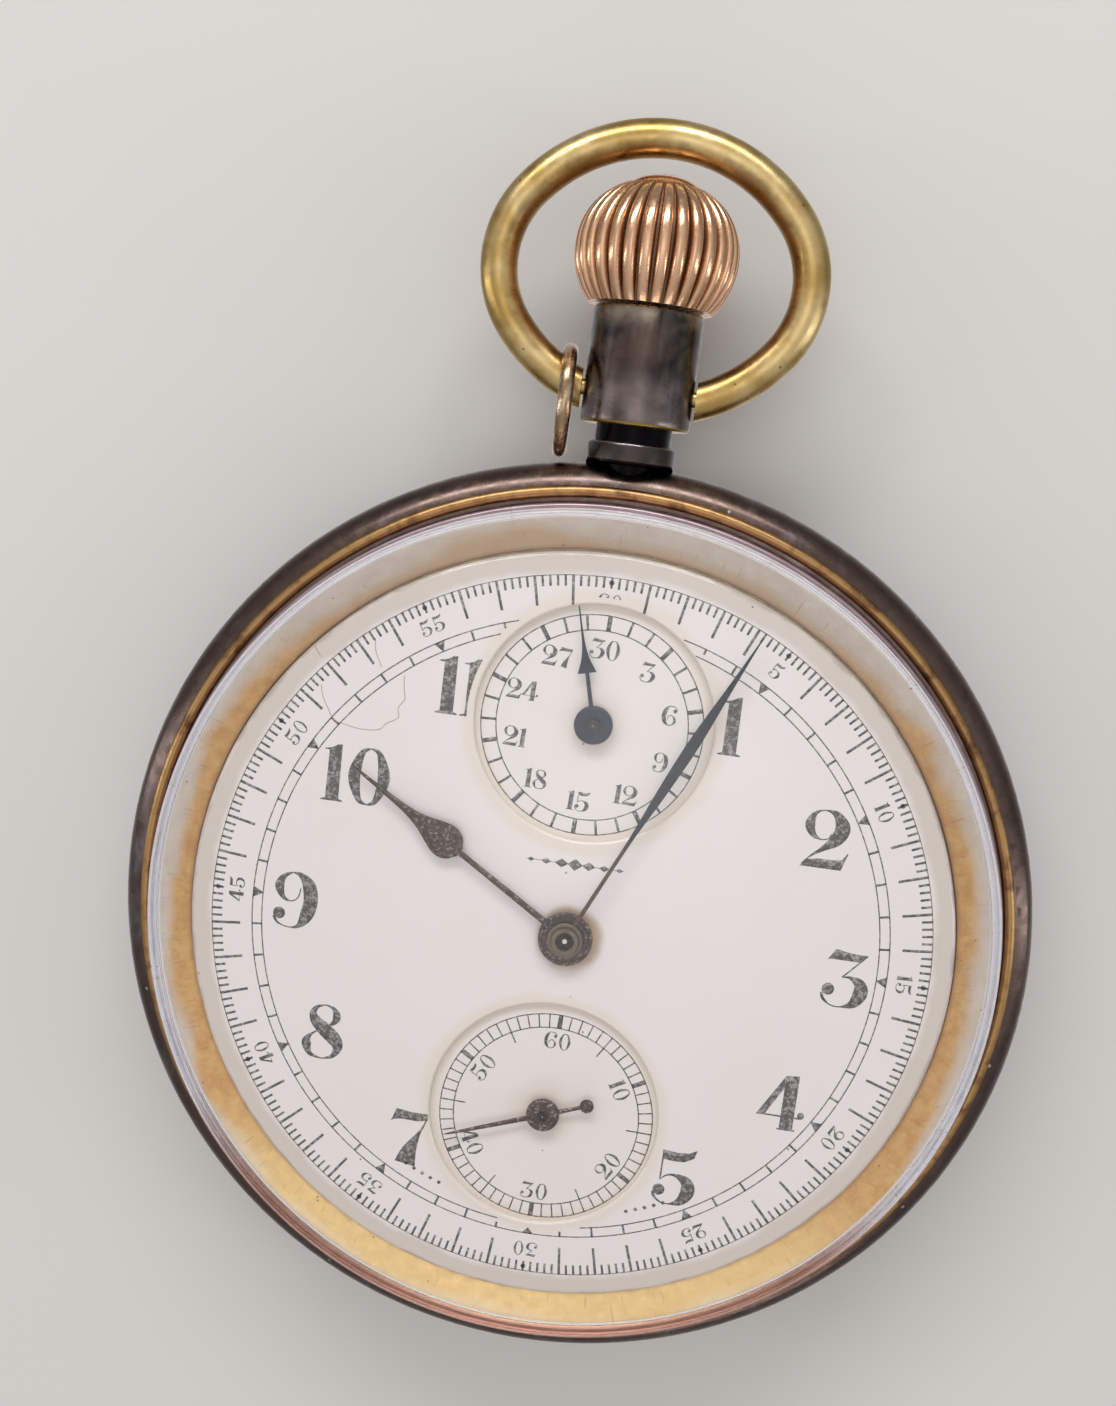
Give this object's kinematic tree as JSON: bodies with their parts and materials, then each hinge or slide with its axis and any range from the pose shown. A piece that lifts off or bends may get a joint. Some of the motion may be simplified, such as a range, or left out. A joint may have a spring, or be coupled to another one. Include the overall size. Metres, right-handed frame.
{
  "type": "pocket chronograph",
  "caption": "Open-face pocket watch with chronograph: round case, domed crystal, enamel dial with two sunk dials, fluted crown with button, bow and jump ring.",
  "frame": {"origin": "centre of the back's flat rest face, on the dial's axis", "axes": "+Y to 12 o'clock and the crown, +Z out of the dial, +X to 3 o'clock; the watch lies on its back"},
  "size_m": [0.0518, 0.0701, 0.0126],
  "materials": {
    "gunmetal": "patinated gunmetal",
    "gilt": "worn gilt",
    "rose_gold": "rose gold",
    "bow_brass": "tarnished brass",
    "ring_metal": "worn nickel brass",
    "crystal": "clear",
    "enamel": "vitreous enamel",
    "copper": "copper",
    "hand_steel": "browned steel",
    "blue_steel": "blued steel",
    "plate_gilt": "frosted gilt",
    "wheel_brass": "polished",
    "steel": "polished steel",
    "ruby": "synthetic ruby",
    "spring_steel": "spring steel"
  },
  "bodies": {
    "case": {"case_middle": "gunmetal", "rim_bead": "gilt", "pendant_neck": "gunmetal", "pendant": "gunmetal", "hinge_pin": "steel", "dial": "enamel", "register_dial": "enamel", "seconds_dial": "enamel", "dial_feet": "copper", "mainplate": "plate_gilt", "barrel_bridge": "plate_gilt", "train_bridge": "plate_gilt", "balance_cock": "plate_gilt", "pallet_cock": "plate_gilt", "chronograph_bridges": "plate_gilt", "click_spring": "spring_steel", "hairspring": "spring_steel", "jewels": "ruby", "bridge_screws": "blue_steel", "case_screws": "blue_steel"},
    "back": {"case_back": "gunmetal"},
    "bezel_ring": {"bezel": "gilt", "crystal": "crystal"},
    "bow": {"bow": "bow_brass"},
    "jump_ring": {"jump_ring": "ring_metal"},
    "setting_slide": {"setting_slide": "steel"},
    "crown": {"crown": "rose_gold", "winding_stem": "steel"},
    "button": {"crown_button": "rose_gold"},
    "winding_pinions": {"winding_pinion": "steel", "clutch_pinion": "steel"},
    "crown_wheel": {"crown_wheel": "steel"},
    "intermediate_wheel": {"intermediate_wheel": "steel"},
    "barrel_arbor": {"barrel_arbor": "steel", "ratchet_wheel": "steel"},
    "click": {"click": "steel"},
    "minute_hand": {"minute_hand": "blue_steel", "cannon_pinion": "steel"},
    "minute_wheel": {"minute_wheel": "wheel_brass"},
    "hour_hand": {"hour_hand": "hand_steel", "hour_wheel": "wheel_brass"},
    "fourth_wheel": {"fourth_wheel": "wheel_brass", "seconds_hand": "hand_steel"},
    "third_wheel": {"third_wheel": "wheel_brass"},
    "centre_wheel": {"centre_wheel": "wheel_brass"},
    "barrel": {"barrel": "wheel_brass", "barrel_cover": "wheel_brass", "mainspring": "spring_steel"},
    "escape_wheel": {"escape_wheel": "steel"},
    "pallet_fork": {"pallet_fork": "steel"},
    "balance": {"balance_wheel": "wheel_brass"},
    "regulator": {"regulator": "steel"},
    "runner": {"chronograph_runner": "wheel_brass"},
    "recorder": {"minute_recorder": "wheel_brass", "register_hand": "blue_steel"},
    "column_wheel": {"column_wheel": "steel"},
    "operating_lever": {"operating_lever": "steel"},
    "coupling_lever": {"coupling_lever": "steel"},
    "coupling_wheel": {"coupling_wheel": "wheel_brass"},
    "reset_hammer": {"reset_hammer": "steel"}
  },
  "joints": [
    {"name": "back_open", "type": "hinge", "parent": "case", "child": "back", "pos_m": [0, -0.0253, 0.0027], "axis": [-1, 0, 0], "range_deg": [0, 100]},
    {"name": "bezel_lift", "type": "slide", "parent": "case", "child": "bezel_ring", "axis": [0, 0, 1], "range_m": [0, 0.006]},
    {"name": "bow_swing", "type": "hinge", "parent": "case", "child": "bow", "pos_m": [0, 0.02985, 0.0061], "axis": [1, 0, 0], "range_deg": [-115, 115]},
    {"name": "jump_ring_swing", "type": "hinge", "parent": "bow", "child": "jump_ring", "pos_m": [-0.00395, 0.0301, 0.0061], "axis": [1, 0, 0], "range_deg": [-60, 60]},
    {"name": "crown_pull", "type": "slide", "parent": "case", "child": "setting_slide", "axis": [0, 1, 0], "range_m": [0, 0.00045]},
    {"name": "crown_turn", "type": "hinge", "parent": "setting_slide", "child": "crown", "pos_m": [0, 0.0373, 0.0061], "axis": [0, 1, 0], "continuous": true},
    {"name": "button_press", "type": "slide", "parent": "crown", "child": "button", "axis": [0, -1, 0], "range_m": [0, 0.0006], "stiffness_N_per_m": 2500, "springref_m": -0.0004},
    {"name": "pinions_turn", "type": "hinge", "parent": "case", "child": "winding_pinions", "pos_m": [0, 0.0185, 0.0061], "axis": [0, 1, 0], "continuous": true},
    {"name": "crown_wheel_turn", "type": "hinge", "parent": "case", "child": "crown_wheel", "pos_m": [0, 0.0166, 0.005], "axis": [0, 0, 1], "continuous": true},
    {"name": "intermediate_turn", "type": "hinge", "parent": "case", "child": "intermediate_wheel", "pos_m": [-0.0046, 0.014, 0.005], "axis": [0, 0, 1], "continuous": true},
    {"name": "ratchet_turn", "type": "hinge", "parent": "case", "child": "barrel_arbor", "pos_m": [-0.00713, 0.005, 0.005], "axis": [0, 0, 1], "continuous": true},
    {"name": "click_lift", "type": "hinge", "parent": "case", "child": "click", "pos_m": [-0.0162, 0.0066, 0.005], "axis": [0, 0, 1], "range_deg": [-8, 0], "stiffness_Nm_per_rad": 0.0002, "springref_deg": 2.86},
    {"name": "minute_hand_turn", "type": "hinge", "parent": "case", "child": "minute_hand", "pos_m": [0, 0, 0.005], "axis": [0, 0, 1], "continuous": true},
    {"name": "minute_wheel_turn", "type": "hinge", "parent": "case", "child": "minute_wheel", "pos_m": [0.00312, -0.0018, 0.005], "axis": [0, 0, 1], "continuous": true},
    {"name": "hour_hand_turn", "type": "hinge", "parent": "case", "child": "hour_hand", "pos_m": [0, 0, 0.005], "axis": [0, 0, 1], "continuous": true},
    {"name": "seconds_hand_turn", "type": "hinge", "parent": "case", "child": "fourth_wheel", "pos_m": [0, -0.01045, 0.005], "axis": [0, 0, 1], "continuous": true},
    {"name": "third_wheel_turn", "type": "hinge", "parent": "case", "child": "third_wheel", "pos_m": [0.00351, -0.00577, 0.005], "axis": [0, 0, 1], "continuous": true},
    {"name": "centre_wheel_turn", "type": "hinge", "parent": "case", "child": "centre_wheel", "pos_m": [0, 0, 0.005], "axis": [0, 0, 1], "continuous": true},
    {"name": "barrel_turn", "type": "hinge", "parent": "case", "child": "barrel", "pos_m": [-0.00713, 0.005, 0.005], "axis": [0, 0, 1], "continuous": true},
    {"name": "escape_wheel_turn", "type": "hinge", "parent": "case", "child": "escape_wheel", "pos_m": [-0.0047, -0.00874, 0.005], "axis": [0, 0, 1], "continuous": true},
    {"name": "pallet_rock", "type": "hinge", "parent": "case", "child": "pallet_fork", "pos_m": [-0.0077, -0.00885, 0.005], "axis": [0, 0, 1], "range_deg": [-5, 5]},
    {"name": "balance_swing", "type": "hinge", "parent": "case", "child": "balance", "pos_m": [-0.012, -0.009, 0.005], "axis": [0, 0, 1], "range_deg": [-150, 150], "stiffness_Nm_per_rad": 0.0000004},
    {"name": "regulator_turn", "type": "hinge", "parent": "case", "child": "regulator", "pos_m": [-0.012, -0.009, 0.005], "axis": [0, 0, 1], "range_deg": [-20, 20]},
    {"name": "runner_turn", "type": "hinge", "parent": "case", "child": "runner", "pos_m": [0, 0, 0.005], "axis": [0, 0, 1], "continuous": true},
    {"name": "recorder_turn", "type": "hinge", "parent": "case", "child": "recorder", "pos_m": [0, 0.0119, 0.005], "axis": [0, 0, 1], "continuous": true},
    {"name": "column_wheel_turn", "type": "hinge", "parent": "case", "child": "column_wheel", "pos_m": [0.0122, 0.0074, 0.005], "axis": [0, 0, 1], "continuous": true},
    {"name": "operating_lever_swing", "type": "hinge", "parent": "case", "child": "operating_lever", "pos_m": [0.0092, 0.0154, 0.005], "axis": [0, 0, 1], "range_deg": [0, 4]},
    {"name": "coupling_lever_swing", "type": "hinge", "parent": "case", "child": "coupling_lever", "pos_m": [0.0062, -0.0132, 0.005], "axis": [0, 0, 1], "range_deg": [-1.5, 0.6]},
    {"name": "coupling_wheel_turn", "type": "hinge", "parent": "coupling_lever", "child": "coupling_wheel", "pos_m": [0.00074, -0.0055, 0.005], "axis": [0, 0, 1], "continuous": true},
    {"name": "reset_hammer_swing", "type": "hinge", "parent": "case", "child": "reset_hammer", "pos_m": [0.0082, 0.0026, 0.005], "axis": [0, 0, 1], "range_deg": [-4, 3]}
  ],
  "couplings": [
    {"joint": "pinions_turn", "follows": "crown_turn", "ratio": 1},
    {"joint": "crown_wheel_turn", "follows": "crown_turn", "ratio": 0.7},
    {"joint": "intermediate_turn", "follows": "crown_turn", "ratio": -0.63636},
    {"joint": "ratchet_turn", "follows": "crown_turn", "ratio": 0.26923},
    {"joint": "minute_wheel_turn", "follows": "minute_hand_turn", "ratio": -0.33333},
    {"joint": "hour_hand_turn", "follows": "minute_hand_turn", "ratio": 0.083333},
    {"joint": "third_wheel_turn", "follows": "seconds_hand_turn", "ratio": -0.13333},
    {"joint": "centre_wheel_turn", "follows": "seconds_hand_turn", "ratio": 0.016667},
    {"joint": "barrel_turn", "follows": "seconds_hand_turn", "ratio": -0.002778},
    {"joint": "escape_wheel_turn", "follows": "seconds_hand_turn", "ratio": -10},
    {"joint": "recorder_turn", "follows": "runner_turn", "ratio": 0.033333},
    {"joint": "operating_lever_swing", "follows": "button_press", "rad_per_m": 112.3}
  ]
}
